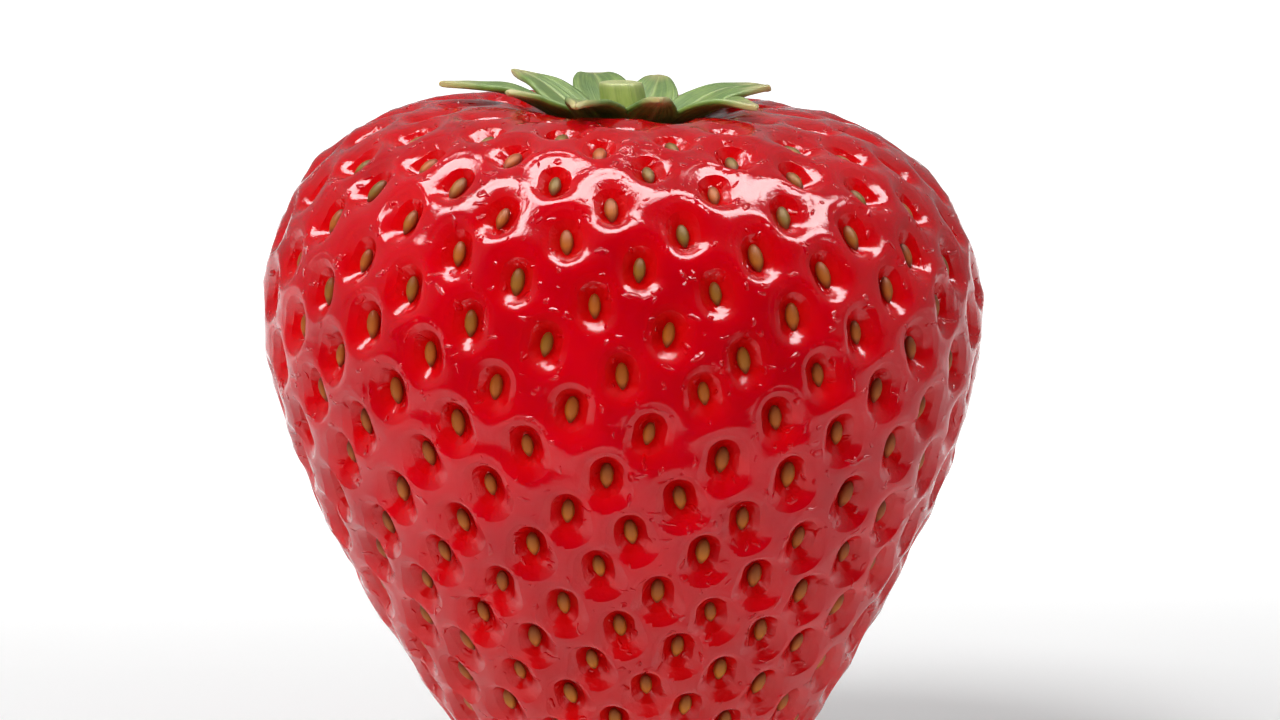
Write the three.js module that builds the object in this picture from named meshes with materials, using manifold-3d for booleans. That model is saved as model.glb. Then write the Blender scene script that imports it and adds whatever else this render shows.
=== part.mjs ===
// A whole ripe strawberry that stands on its tip: the fruit with its pits and seeds, and the
// trimmed green calyx in the hollow of its crown. Millimetres, +Z up, resting spot at z = 0.
import * as THREE from 'three';
import { ConvexGeometry } from 'three/addons/geometries/ConvexGeometry.js';
import { mergeVertices } from 'three/addons/utils/BufferGeometryUtils.js';
import Module from 'manifold-3d';

const wasm = await Module();
wasm.setup();

// Body of the fruit
const girthRadius = 17.5; // where it is widest
const girthHeight = 27.5; // of the widest place above the resting spot
const tipDepth = 34; // from the girth to where the sides would meet in a point
const sideRounding = 1.57; // how slowly the side leaves the girth
const sideTaper = 1.22; // how the side closes towards the tip
const shoulderRise = 10.9; // from the girth to the ridge of the shoulders
const shoulderSquareness = 2.3; // 2 is an ellipse
const ridgeRadius = 6.5; // of the highest ring, round the hollow of the crown
const hollowDepth = 2.4; // from the ridge down to the stalk
const crownSlope = 0.03; // fall of the crown towards +X
const tipLean = 0.8; // of the tip towards +X
const lobes = [
  { count: 2, depth: 0.01, turn: 0.6 },
  { count: 3, depth: 0.008, turn: 2.1 },
  { count: 5, depth: 0.006, turn: 4.0 },
];

// Pits and seeds
const seedLength = 1.45;
const seedWidth = 0.82;
const seedHeight = 0.55; // above the floor of its pit
const seedSizeSpread = 0.1; // as a share of the size, both ways
const seedTurnSpread = 0.2; // radians, both ways
const seedBackShare = 0.5; // of its length, that its back runs straight
const pitDepth = 0.8;
const pitSquareness = 4; // 2 is a round bowl, and more is a flatter floor with steeper sides
const pitShare = 0.35; // pit radius as a share of the seed spacing
const tipSpacing = 2.5; // from seed to seed near the tip
const girthSpacing = 3.4; // and from the girth up
const evenSpacingHeight = 24; // from here up the spacing stays the same
const placeSpread = 0.06; // as a share of the spacing, both ways
const lowestSeed = 1.9; // height of the first seed above the resting spot
const seedlessRadius = 6; // of the crown, under the calyx
const seedTopPoints = 2; // corners of each seed and pit
const seedFootPoints = 6;
const pitRimPoints = 6;
const restRingHeights = [-0.3, 1]; // rings of corners without seeds
const restRingCorners = 16;
const crownRings = [
  { radius: 1.5, count: 6 },
  { radius: 3, count: 10 },
  { radius: 4.4, count: 14 },
];

// Calyx
const calyxGap = 0.35; // to the fruit under it
const collarRadius = 2.5;
const collarHeight = 1;
const sepalCount = 10;
const sepalStart = 1.4; // distance of its root from the middle of the crown
const longReach = 9; // distance of its point from the middle, of every other sepal
const shortReach = 7.2; // and of those between
const reachSpread = 0.6;
const sepalWidth = 3;
const sepalRootWidth = 1.5;
const sepalTipWidth = 0.4;
const sepalTipSharpness = 1.4; // 1 narrows evenly to the point
const widestShare = 0.42; // of its length, from the root
const sepalThickness = 0.65;
const sepalFold = 0.22; // how far its edges stand up from its midrib
const leastLift = 0; // of its point from the fruit
const mostLift = 0.7;
const sepalTurn = Math.PI / 5; // of the first sepal, from +X
const sepalPlaceSpread = 0.12; // as a share of the angle between two, both ways
const sepalTwistSpread = 0.12; // radians, both ways
const sepalSteps = 6;
const stalkRadius = 1.1;
const stalkLength = 2.2; // of the stub above the collar
const stalkFlare = 1.1; // width of its foot and of its cut end, as shares of its width
const stalkTaper = 0.92;
const stalkLean = 0.4;
const stalkRooting = 0.4; // from the underside of the collar up to where the stub begins
const collarSides = 20;
const collarSteps = 5; // of its dome, from the rim to the top
const stalkSides = 12;
const stalkSteps = 3;

const goldenAngle = Math.PI * (3 - Math.sqrt(5));
const outlineSteps = 6000;

// A seeded row of numbers from 0 to 1, the same every time
function makeDraw(seed) {
  let state = seed;
  return () => {
    state = (Math.imul(state, 1664525) + 1013904223) >>> 0;
    return state / 2 ** 32;
  };
}

const either = (draw, spread) => (2 * draw() - 1) * spread;

// Radius of the side at a height under the girth
function sideRadius(height) {
  const narrowing = 1 - ((girthHeight - height) / tipDepth) ** sideRounding;
  return girthRadius * Math.max(narrowing, 0) ** sideTaper;
}

// Half of the fruit's outline, from the point of the tip at 0 to the middle of the crown at 1
function outline(along) {
  if (along < 0.5) {
    const height = girthHeight - tipDepth * (1 - 2 * along);
    return { radius: sideRadius(height), height };
  }
  const angle = Math.min(Math.PI * (along - 0.5), Math.PI / 2);
  const radius = girthRadius * Math.max(Math.cos(angle), 0) ** (2 / shoulderSquareness);
  return { radius, height: crownHeight(radius) };
}

// Height of the upper part at a radius: the shoulder rolls up to its ridge, round a hollow
function crownHeight(radius) {
  const { clamp, smoothstep } = THREE.MathUtils;
  const share = clamp((radius - ridgeRadius) / (girthRadius - ridgeRadius), 0, 1);
  const shoulder = (1 - share ** shoulderSquareness) ** (1 / shoulderSquareness);
  const hollow = 1 - smoothstep(radius, 0, ridgeRadius);
  return girthHeight + shoulderRise * shoulder - hollowDepth * hollow;
}

// Places along the outline from the tip to the crown, each with its angle from straight up on a
// ball, chosen so that small shapes on the ball keep their form on the fruit
function traceOutline() {
  const places = [];
  let latitude = 0;
  for (let step = 1; step < outlineSteps; step += 1) {
    const place = outline(step / outlineSteps);
    const last = places.at(-1) ?? place;
    const strip = Math.hypot(place.radius - last.radius, place.height - last.height);
    latitude += strip / place.radius;
    places.push({ ...place, strip, latitude });
  }
  const girth = places[outlineSteps / 2 - 1].latitude;
  for (const place of places) place.polar = 2 * Math.atan(Math.exp(girth - place.latitude));
  return places;
}

const outlinePlaces = traceOutline();

// The place on the outline at this angle from straight up on the ball
function outlineTowards(polar) {
  let below = 0;
  let above = outlinePlaces.length - 1;
  while (above - below > 1) {
    const half = Math.floor((below + above) / 2);
    if (outlinePlaces[half].polar > polar) below = half;
    else above = half;
  }
  const low = outlinePlaces[below];
  const high = outlinePlaces[above];
  const share = THREE.MathUtils.clamp((polar - low.polar) / (high.polar - low.polar), 0, 1);
  return {
    radius: THREE.MathUtils.lerp(low.radius, high.radius, share),
    height: THREE.MathUtils.lerp(low.height, high.height, share),
  };
}

// The angle on the ball of the place with this radius and height
function polarOf(radius, height) {
  const away = (place) => Math.hypot(place.radius - radius, place.height - height);
  return outlinePlaces.reduce((best, place) => (away(place) < away(best) ? place : best)).polar;
}

// A point on the smooth body, without pits and seeds
function bodyPoint(polar, azimuth) {
  const { radius, height } = outlineTowards(polar);
  let swell = 1;
  for (const { count, depth, turn } of lobes) swell += depth * Math.cos(count * azimuth + turn);
  const x = radius * swell * Math.cos(azimuth);
  const y = radius * swell * Math.sin(azimuth);
  const down = Math.max(girthHeight - height, 0) / girthHeight;
  const up = THREE.MathUtils.clamp((height - girthHeight) / shoulderRise, 0, 1);
  return new THREE.Vector3(x + tipLean * down ** 2, y, height - crownSlope * x * up);
}

// The body there with its directions: up along the side, round it and out of it
function bodyFrame(polar, azimuth) {
  const step = 1e-4;
  const point = bodyPoint(polar, azimuth);
  const up = bodyPoint(polar - step, azimuth).sub(point).divideScalar(step);
  const round = bodyPoint(polar, azimuth + step).sub(point).divideScalar(step);
  const upScale = up.length();
  const roundScale = round.length();
  up.normalize();
  round.normalize();
  return { point, up, round, out: round.clone().cross(up), upScale, roundScale };
}

// Seeds wind up the fruit by the golden angle, each with the same share of the skin round it
function placeSeeds() {
  const draw = makeDraw(7);
  const seeds = [];
  let owed = 0;
  for (const { radius, height, strip, polar } of outlinePlaces) {
    const rise = THREE.MathUtils.smoothstep(height, 0, evenSpacingHeight);
    const spacing = THREE.MathUtils.lerp(tipSpacing, girthSpacing, rise);
    const inCrown = height > girthHeight && radius < seedlessRadius;
    if (height < lowestSeed || inCrown) continue;
    owed += (2 * Math.PI * radius * strip) / ((Math.sqrt(3) / 2) * spacing ** 2);
    if (owed < 1) continue;
    owed -= 1;
    seeds.push(makeSeed(polar, seeds.length * goldenAngle, spacing, draw));
  }
  return seeds;
}

function makeSeed(polar, azimuth, spacing, draw) {
  const rough = bodyFrame(polar, azimuth);
  const shift = spacing * placeSpread;
  const seedPolar = polar + either(draw, shift) / rough.upScale;
  const seedAzimuth = azimuth + either(draw, shift) / rough.roundScale;
  const frame = bodyFrame(seedPolar, seedAzimuth);
  const size = (1 + either(draw, seedSizeSpread)) * Math.sqrt(spacing / girthSpacing);
  return {
    ...frame,
    polar: seedPolar,
    azimuth: seedAzimuth,
    turn: either(draw, seedTurnSpread),
    halfLength: (size * seedLength) / 2,
    halfWidth: (size * seedWidth) / 2,
    pitRadius: spacing * pitShare,
  };
}

// How far the skin stands out from the smooth body: pits go in, seeds rise from their floors
function relief(point, seeds) {
  let pit = 0;
  let rise = 0;
  for (const seed of seeds) {
    const offset = point.clone().sub(seed.point);
    if (offset.lengthSq() > (2 * seed.pitRadius) ** 2) continue;
    const { along, across } = inSeed(offset, seed);
    const fromMiddle = Math.hypot(along, across) / seed.pitRadius;
    const fromSeed = Math.hypot(along / seed.halfLength, across / seed.halfWidth);
    pit = Math.max(pit, pitDepth * (1 - Math.min(fromMiddle, 1) ** pitSquareness));
    rise = Math.max(rise, seedHeight * Math.sqrt(Math.max(1 - fromSeed ** 2, 0)));
  }
  return rise - pit;
}

// An offset measured along the seed and across it
function inSeed(offset, seed) {
  const high = offset.dot(seed.up);
  const side = offset.dot(seed.round);
  return {
    along: high * Math.cos(seed.turn) + side * Math.sin(seed.turn),
    across: side * Math.cos(seed.turn) - high * Math.sin(seed.turn),
  };
}

// A point on a ball of radius 1, at an angle from straight up
function direction(polar, azimuth) {
  const out = Math.sin(polar);
  return new THREE.Vector3(out * Math.cos(azimuth), out * Math.sin(azimuth), Math.cos(polar));
}

// The direction of a corner that lies along and across a seed from its middle
function besideSeed(seed, along, across) {
  const high = along * Math.cos(seed.turn) - across * Math.sin(seed.turn);
  const side = along * Math.sin(seed.turn) + across * Math.cos(seed.turn);
  return direction(seed.polar - high / seed.upScale, seed.azimuth + side / seed.roundScale);
}

// Corners on an oval round a seed
function ovalCorners(seed, count, halfLength, halfWidth, firstTurn) {
  return Array.from({ length: count }, (_, corner) => {
    const turn = firstTurn + (2 * Math.PI * corner) / count;
    return besideSeed(seed, halfLength * Math.cos(turn), halfWidth * Math.sin(turn));
  });
}

function seedCorners(seed) {
  const { halfLength, halfWidth, pitRadius } = seed;
  const halfBack = seedBackShare * halfLength;
  return [
    ...ovalCorners(seed, seedTopPoints, halfBack, halfBack, 0),
    ...ovalCorners(seed, seedFootPoints, halfLength, halfWidth, 0),
    ...ovalCorners(seed, pitRimPoints, pitRadius, pitRadius, Math.PI / pitRimPoints),
  ];
}

// Rings of corners where no seed grows: round the resting spot and in the hollow of the crown
function plainCorners() {
  const count = restRingCorners;
  const rings = [
    ...restRingHeights.map((height) => ({ radius: sideRadius(height), height, count })),
    ...crownRings.map((ring) => ({ ...ring, height: crownHeight(ring.radius) })),
  ];
  const corners = [direction(0, 0), direction(Math.PI, 0)];
  for (const ring of rings) {
    const polar = polarOf(ring.radius, ring.height);
    for (let corner = 0; corner < ring.count; corner += 1) {
      corners.push(direction(polar, (2 * Math.PI * corner) / ring.count));
    }
  }
  return corners;
}

// Moves a corner from the ball of radius 1 to the skin of the fruit
function toSkin(corner, seeds) {
  const polar = Math.acos(THREE.MathUtils.clamp(corner.z, -1, 1));
  const { point, out } = bodyFrame(polar, Math.atan2(corner.y, corner.x));
  return point.clone().addScaledVector(out, relief(point, seeds));
}

// A closed geometry as a solid that can be joined and cut
function toSolid(geometry) {
  const bare = geometry.clone();
  bare.deleteAttribute('normal');
  bare.deleteAttribute('uv');
  const merged = mergeVertices(bare);
  return new wasm.Manifold(
    new wasm.Mesh({
      numProp: 3,
      vertProperties: new Float32Array(merged.attributes.position.array),
      triVerts: new Uint32Array(merged.index.array),
    }),
  );
}

// A solid as a named mesh
function toMesh(solid, name, color, roughness) {
  const { vertProperties, triVerts } = solid.getMesh();
  const geometry = new THREE.BufferGeometry();
  geometry.setAttribute('position', new THREE.BufferAttribute(new Float32Array(vertProperties), 3));
  geometry.setIndex(new THREE.BufferAttribute(new Uint32Array(triVerts), 1));
  const flat = geometry.toNonIndexed();
  flat.computeVertexNormals();
  const material = new THREE.MeshStandardMaterial({ color, roughness, metalness: 0 });
  const mesh = new THREE.Mesh(flat, material);
  mesh.name = name;
  return mesh;
}

// The fruit: a ball's corners moved to the skin, with the tip cut flat where it rests
function makeBerry() {
  const seeds = placeSeeds();
  const ball = new ConvexGeometry([...plainCorners(), ...seeds.flatMap(seedCorners)]);
  ball.deleteAttribute('normal');
  const skin = mergeVertices(ball, 1e-5);
  const corners = skin.attributes.position;
  const corner = new THREE.Vector3();
  for (let index = 0; index < corners.count; index += 1) {
    const { x, y, z } = toSkin(corner.fromBufferAttribute(corners, index), seeds);
    corners.setXYZ(index, x, y, z);
  }
  const floor = new THREE.BoxGeometry(2 * girthRadius, 2 * girthRadius, tipDepth);
  floor.translate(0, 0, -tipDepth / 2);
  return toSolid(skin).subtract(toSolid(floor));
}

// Height of the bare crown under a point, with its slope
function crownUnder(x, y) {
  const radius = Math.hypot(x, y);
  const height = crownHeight(radius);
  return height - (crownSlope * x * (height - girthHeight)) / shoulderRise;
}

// Width of a sepal along its length, from the root at 0 to the point at 1
function sepalWidthAt(along) {
  if (along < widestShare) {
    const share = Math.sin((Math.PI / 2) * (along / widestShare));
    return THREE.MathUtils.lerp(sepalRootWidth, sepalWidth, share);
  }
  const share = (along - widestShare) / (1 - widestShare);
  return THREE.MathUtils.lerp(sepalWidth, sepalTipWidth, share ** sepalTipSharpness);
}

// One sepal: a thin blade that follows the crown and lifts its point
function makeSepal(azimuth, reach, lift, twist) {
  const blade = new THREE.BoxGeometry(1, 1, 1, sepalSteps, 2, 1);
  const corners = blade.attributes.position;
  for (let index = 0; index < corners.count; index += 1) {
    const along = corners.getX(index) + 0.5;
    const side = 2 * corners.getY(index); // -1 and 1 at the edges, 0 on the midrib
    const above = corners.getZ(index) + 0.5;
    const across = (side * sepalWidthAt(along)) / 2;
    const far = THREE.MathUtils.lerp(sepalStart, reach, along);
    const turn = azimuth + twist * along ** 2;
    const x = far * Math.cos(turn) - across * Math.sin(turn);
    const y = far * Math.sin(turn) + across * Math.cos(turn);
    const fold = sepalFold * Math.abs(side) * Math.sin(Math.PI * along);
    const z = crownUnder(x, y) + calyxGap + fold + lift * along ** 3 + above * sepalThickness;
    corners.setXYZ(index, x, y, z);
  }
  return toSolid(blade);
}

// The collar that the sepals grow from, a low dome over the hollow
function makeCollar() {
  const base = crownHeight(0) + calyxGap;
  const rim = crownHeight(collarRadius) + calyxGap;
  const profile = [new THREE.Vector2(0, base)];
  profile.push(new THREE.Vector2(collarRadius / 2, crownHeight(collarRadius / 2) + calyxGap));
  profile.push(new THREE.Vector2(collarRadius, rim));
  for (let step = 1; step <= collarSteps; step += 1) {
    const angle = (Math.PI / 2) * (step / collarSteps);
    const radius = step === collarSteps ? 0 : collarRadius * Math.cos(angle);
    profile.push(new THREE.Vector2(radius, rim + (base + collarHeight - rim) * Math.sin(angle)));
  }
  return toSolid(new THREE.LatheGeometry(profile, collarSides).rotateX(Math.PI / 2));
}

// The stub of the stalk, rooted in the collar and cut level at the top
function makeStalk() {
  const root = crownHeight(0) + calyxGap + stalkRooting;
  const length = collarHeight + stalkLength - stalkRooting;
  const [top, foot] = [stalkRadius * stalkTaper, stalkRadius * stalkFlare];
  const stub = new THREE.CylinderGeometry(top, foot, length, stalkSides, stalkSteps);
  stub.rotateX(Math.PI / 2).translate(0, 0, length / 2);
  const corners = stub.attributes.position;
  for (let index = 0; index < corners.count; index += 1) {
    const share = corners.getZ(index) / length;
    corners.setXYZ(
      index,
      corners.getX(index) - stalkLean * share ** 2,
      corners.getY(index),
      corners.getZ(index) + root,
    );
  }
  return toSolid(stub);
}

function makeCalyx() {
  const draw = makeDraw(21);
  let calyx = makeCollar().add(makeStalk());
  for (let sepal = 0; sepal < sepalCount; sepal += 1) {
    const place = sepal + either(draw, sepalPlaceSpread);
    const azimuth = sepalTurn + (2 * Math.PI * place) / sepalCount;
    const reach = (sepal % 2 ? shortReach : longReach) + either(draw, reachSpread);
    const lift = THREE.MathUtils.lerp(leastLift, mostLift, draw());
    calyx = calyx.add(makeSepal(azimuth, reach, lift, either(draw, sepalTwistSpread)));
  }
  return calyx;
}

const strawberry = new THREE.Group();
strawberry.add(toMesh(makeBerry(), 'berry', 0xb8101a, 0.15));
strawberry.add(toMesh(makeCalyx(), 'calyx', 0x8a9a4a, 0.6));

export default strawberry;
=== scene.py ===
# A ripe strawberry that stands on its tip on a white table, under a wide softbox and a soft lamp.
import math

import bpy
import numpy as np
from mathutils import Matrix, Vector


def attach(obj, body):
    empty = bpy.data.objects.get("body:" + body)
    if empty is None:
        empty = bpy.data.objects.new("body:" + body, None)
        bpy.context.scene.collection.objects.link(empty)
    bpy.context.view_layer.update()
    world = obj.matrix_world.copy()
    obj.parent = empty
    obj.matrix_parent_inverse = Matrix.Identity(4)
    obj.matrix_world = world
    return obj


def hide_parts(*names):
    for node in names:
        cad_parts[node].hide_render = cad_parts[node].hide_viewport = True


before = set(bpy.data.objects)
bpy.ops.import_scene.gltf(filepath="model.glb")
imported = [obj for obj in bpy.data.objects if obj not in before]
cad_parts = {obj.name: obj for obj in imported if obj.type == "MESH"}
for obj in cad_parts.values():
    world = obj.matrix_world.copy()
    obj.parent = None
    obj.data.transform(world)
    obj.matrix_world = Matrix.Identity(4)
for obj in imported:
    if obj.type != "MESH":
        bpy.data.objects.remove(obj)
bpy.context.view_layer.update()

mm = 0.001  # one millimetre in Blender's metres


def hexToLinear(hexColour):
    # an sRGB hex colour as the linear colour that a shader socket takes
    parts = [int(hexColour[place:place + 2], 16) / 255 for place in (1, 3, 5)]
    linear = [part / 12.92 if part <= 0.04045 else ((part + 0.055) / 1.055) ** 2.4 for part in parts]
    return (*linear, 1.0)


def addNode(tree, kind, settings=None, inputs=None):
    # one node with its settings; a socket takes a value, an output, or a node for its first output in use
    node = tree.nodes.new("ShaderNode" + kind)
    for name, value in (settings or {}).items():
        setattr(node, name, value)
    for socket, value in (inputs or {}).items():
        if isinstance(value, bpy.types.Node):
            value = next(output for output in value.outputs if output.enabled)
        if isinstance(value, bpy.types.NodeSocket):
            tree.links.new(value, node.inputs[socket])
        else:
            node.inputs[socket].default_value = value
    return node


def setRamp(node, stops):
    # the colours of a ramp, by their places from 0 to 1, the first and the last place first
    elements = node.color_ramp.elements
    for number, (place, hexColour) in enumerate(stops):
        element = elements[number] if number < 2 else elements.new(place)
        element.position = place
        element.color = hexToLinear(hexColour)


def scaleFor(size):
    # the scale that makes a pattern's cells this many millimetres wide
    return 1 / (size * mm)


def newMaterial(name):
    material = bpy.data.materials.new(name)
    material.use_nodes = True
    material.node_tree.nodes.clear()
    return material, material.node_tree


def selectOnly(piece):
    bpy.ops.object.select_all(action="DESELECT")
    piece.select_set(True)
    bpy.context.view_layer.objects.active = piece


def readPoints(piece):
    points = np.empty(len(piece.data.vertices) * 3)
    piece.data.vertices.foreach_get("co", points)
    return points.reshape(-1, 3)


def writePoints(piece, points):
    piece.data.vertices.foreach_set("co", np.asarray(points, dtype=np.float32).ravel())
    piece.data.update()


def addShade(piece, name, values):
    # a number for each vertex, which the material reads by name
    layer = piece.data.attributes.new(name, "FLOAT", "POINT")
    layer.data.foreach_set("value", np.asarray(values, dtype=np.float32))


def applyModifier(piece, kind, **settings):
    selectOnly(piece)
    modifier = piece.modifiers.new(kind.title(), kind)
    for name, value in settings.items():
        setattr(modifier, name, value)
    bpy.ops.object.modifier_apply(modifier=modifier.name)


def joinPieces(pieces, name):
    selectOnly(pieces[0])
    for piece in pieces:
        piece.select_set(True)
    bpy.ops.object.join()
    pieces[0].name = name
    return pieces[0]


def smoothStep(values, start, end):
    share = np.clip((values - start) / (end - start), 0, 1)
    return share * share * (3 - 2 * share)


def makeDraw(seed):
    # a seeded row of numbers from 0 to 1, the same every time
    state = seed

    def draw():
        nonlocal state
        state = (state * 1664525 + 1013904223) % 2 ** 32
        return state / 2 ** 32

    return draw


def either(draw, spread):
    # a number as far to one side of 0 as to the other
    return (2 * draw() - 1) * spread


# the fruit's smooth body, in millimetres
body = {
    "girthRadius": 17.5,  # where it is widest
    "girthHeight": 27.5,
    "tipDepth": 34,  # from the girth to where the sides would meet
    "sideRounding": 1.57,
    "sideTaper": 1.22,
    "shoulderRise": 10.9,
    "shoulderSquareness": 2.3,
    "ridgeRadius": 6.5,  # of the highest ring, round the hollow of the crown
    "hollowDepth": 2.4,
    "crownSlope": 0.03,
    "tipLean": 0.8,
    "lobes": [(2, 0.01, 0.6), (3, 0.008, 2.1), (5, 0.006, 4.0)],
    "outlineSteps": 6000,
    "evenSteps": 4000,  # of the outline when it is measured out by its length
    "restRounding": 0.7,  # length of outline over which the edge of the resting spot is rounded
    "restMargin": 2,  # how far past the edge the rounding may reach
}


def sideRadius(height):
    narrowing = 1 - ((body["girthHeight"] - height) / body["tipDepth"]) ** body["sideRounding"]
    return body["girthRadius"] * np.maximum(narrowing, 0) ** body["sideTaper"]


def crownHeight(radius):
    ridge = body["ridgeRadius"]
    square = body["shoulderSquareness"]
    share = np.clip((radius - ridge) / (body["girthRadius"] - ridge), 0, 1)
    shoulder = (1 - share ** square) ** (1 / square)
    hollow = 1 - smoothStep(radius, 0, ridge)
    return body["girthHeight"] + body["shoulderRise"] * shoulder - body["hollowDepth"] * hollow


def traceOutline():
    # places from the point of the tip to the middle of the crown
    along = np.arange(1, body["outlineSteps"]) / body["outlineSteps"]
    low = along < 0.5
    radius = np.empty_like(along)
    height = np.empty_like(along)
    height[low] = body["girthHeight"] - body["tipDepth"] * (1 - 2 * along[low])
    radius[low] = sideRadius(height[low])
    angle = np.minimum(math.pi * (along[~low] - 0.5), math.pi / 2)
    power = 2 / body["shoulderSquareness"]
    radius[~low] = body["girthRadius"] * np.maximum(np.cos(angle), 0) ** power
    height[~low] = crownHeight(radius[~low])
    strip = np.hypot(np.diff(radius, prepend=radius[0]), np.diff(height, prepend=height[0]))
    latitude = np.cumsum(strip / radius)
    girth = latitude[body["outlineSteps"] // 2 - 1]
    polar = 2 * np.arctan(np.exp(girth - latitude))
    return {"radius": radius, "height": height, "strip": strip, "polar": polar}


outline = traceOutline()


def bodyPoints(radius, height, azimuth):
    # points of the smooth body, without pits
    swell = 1 + sum(depth * np.cos(count * azimuth + turn) for count, depth, turn in body["lobes"])
    x = radius * swell * np.cos(azimuth)
    y = radius * swell * np.sin(azimuth)
    down = np.maximum(body["girthHeight"] - height, 0) / body["girthHeight"]
    up = np.clip((height - body["girthHeight"]) / body["shoulderRise"], 0, 1)
    return np.stack([x + body["tipLean"] * down ** 2, y, height - body["crownSlope"] * x * up], -1)


def pointTowards(polar, azimuth):
    order = slice(None, None, -1)  # the angle falls along the outline, and interp wants it rising
    radius = np.interp(polar, outline["polar"][order], outline["radius"][order])
    height = np.interp(polar, outline["polar"][order], outline["height"][order])
    return bodyPoints(radius, height, azimuth)


def frameTowards(polar, azimuth):
    # a place with its directions: up along the side, round it and out of it
    step = 1e-4  # radians
    point = pointTowards(polar, azimuth)
    up = (pointTowards(polar - step, azimuth) - point) / step
    around = (pointTowards(polar, azimuth + step) - point) / step
    upScale, roundScale = np.linalg.norm(up), np.linalg.norm(around)
    up, around = up / upScale, around / roundScale
    out = np.cross(around, up)
    return {"point": point, "up": up, "round": around, "out": out / np.linalg.norm(out),
            "upScale": upScale, "roundScale": roundScale}


# where the seeds are, in millimetres
seedRule = {
    "draw": 7,  # what the row of drawn numbers starts from
    "length": 1.3,
    "width": 0.66,
    "sizeSpread": 0.1,
    "sizePower": 0.3,  # how much a seed's size follows its spacing
    "turnSpread": 0.2,
    "tipSpacing": 2.5,
    "girthSpacing": 3.4,
    "evenSpacingHeight": 24,
    "placeSpread": 0.06,
    "lowestSeed": 1.9,
    "seedlessRadius": 6,  # of the crown, under the calyx
}


def makeSeed(polar, azimuth, spacing, draw):
    rough = frameTowards(polar, azimuth)
    shift = spacing * seedRule["placeSpread"]
    polar = polar + either(draw, shift) / rough["upScale"]
    azimuth = azimuth + either(draw, shift) / rough["roundScale"]
    scale = spacing / seedRule["girthSpacing"]
    size = (1 + either(draw, seedRule["sizeSpread"])) * scale ** seedRule["sizePower"]
    turn = either(draw, seedRule["turnSpread"])
    return {**frameTowards(polar, azimuth), "size": size, "scale": scale, "turn": turn}


def placeSeeds():
    # seeds wind up the fruit by the golden angle, each with the same share of the skin round it
    draw = makeDraw(seedRule["draw"])
    goldenAngle = math.pi * (3 - math.sqrt(5))
    seeds = []
    owed = 0
    columns = (outline[key] for key in ("radius", "height", "strip", "polar"))
    for radius, height, strip, polar in zip(*columns):
        rise = float(smoothStep(height, 0, seedRule["evenSpacingHeight"]))
        spacing = seedRule["tipSpacing"] + (seedRule["girthSpacing"] - seedRule["tipSpacing"]) * rise
        inCrown = height > body["girthHeight"] and radius < seedRule["seedlessRadius"]
        if height < seedRule["lowestSeed"] or inCrown:
            continue
        owed += 2 * math.pi * radius * strip / (math.sqrt(3) / 2 * spacing ** 2)
        if owed < 1:
            continue
        owed -= 1
        seeds.append(makeSeed(polar, len(seeds) * goldenAngle, spacing, draw))
    return seeds


seeds = placeSeeds()
seedPoints = np.array([seed["point"] for seed in seeds])
print("seeds placed:", len(seeds))


skinShape = {
    "cubeCuts": 63,  # of the starting cube, whose faces are then halved both ways: 6 x 128 x 128
    "nearSeeds": 4,  # how many seeds are looked at round each point
    "batch": 8000,  # points at a time, to save memory
    "cupDepth": 0.08,  # mm, of the shallow cup that each seed's cell forms
    "cupReach": 1.3,  # of the seeds' spacing, where a cup without a neighbour ends
    "pitDraw": 31,
    "pitSpread": 0.12,  # of the depth from pit to pit, as a share, both ways
    "pitDepth": 0.85,  # mm at the girth, of the steeper pit inside the cup
    "pitRadius": 1.4,  # mm, where it ends beside its floor
    "floorUp": 0.38,  # mm, how far its floor runs on above the seed's middle, and below it
    "floorDown": 0.24,
    "browHeight": 0.06,  # mm, of the brow that arches over each pit
    "browStart": 1.05,  # mm at the girth, from the seed's middle to where it starts to rise
    "browTop": 1.9,
    "browEnd": 2.8,
    "browSweep": (0.2, 0.85),  # cosines of the angles from straight up where it ends and is full
    "browLevels": (10, 22),  # mm above the table, where it is gone and where it is full
    "knotRise": 0.03,  # mm, of the knots where three cells meet
    "knotStart": 0.75,  # share of the way from a seed to a knot
    "calyxLevels": (35, 37.5),  # mm above the table, where the skin gets under the calyx and has no brows
    "calyxRadii": (8.5, 11),  # mm from the axis, where it ends
    "restLevels": (0.3, 1.8),  # mm above the table, from the plain resting spot to the full relief
    "step": 0.02,  # mm, by which the smooth body's slope is taken
    "poleRadius": 0.05,  # mm, within which the skin faces straight up or down
    "waveDraw": 5,
    "waveCount": 14,
    "waveHeight": 0.018,  # mm, of each of the slow waves in the skin
    "shortestWave": 2.4,  # mm
    "longestWave": 7,
}


def nearestSeeds(points):
    # the nearest seeds of each point, the nearest first, and their distances
    count, batch = skinShape["nearSeeds"], skinShape["batch"]
    distances = np.empty((len(points), count))
    nearest = np.empty((len(points), count), dtype=int)
    for start in range(0, len(points), batch):
        part = slice(start, start + batch)
        away = np.linalg.norm(points[part, None, :] - seedPoints[None, :, :], axis=2)
        order = np.argpartition(away, count, axis=1)[:, :count]
        found = np.take_along_axis(away, order, axis=1)
        ranks = np.argsort(found, axis=1)
        distances[part] = np.take_along_axis(found, ranks, axis=1)
        nearest[part] = np.take_along_axis(order, ranks, axis=1)
    return distances, nearest


def slowWaves(points):
    # the soft unevenness of a grown skin, from a few seeded waves
    draw = makeDraw(skinShape["waveDraw"])
    total = np.zeros(len(points))
    for wave in range(skinShape["waveCount"]):
        towards = np.array([either(draw, 1) for axis in range(3)])
        towards /= np.linalg.norm(towards)
        span = skinShape["longestWave"] - skinShape["shortestWave"]
        wavelength = skinShape["shortestWave"] + span * draw()
        total += np.sin(points @ towards * 2 * math.pi / wavelength + 2 * math.pi * draw())
    return total * skinShape["waveHeight"]


def ofSeeds(key, seedNumbers):
    return np.array([seed[key] for seed in seeds])[seedNumbers]


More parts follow.
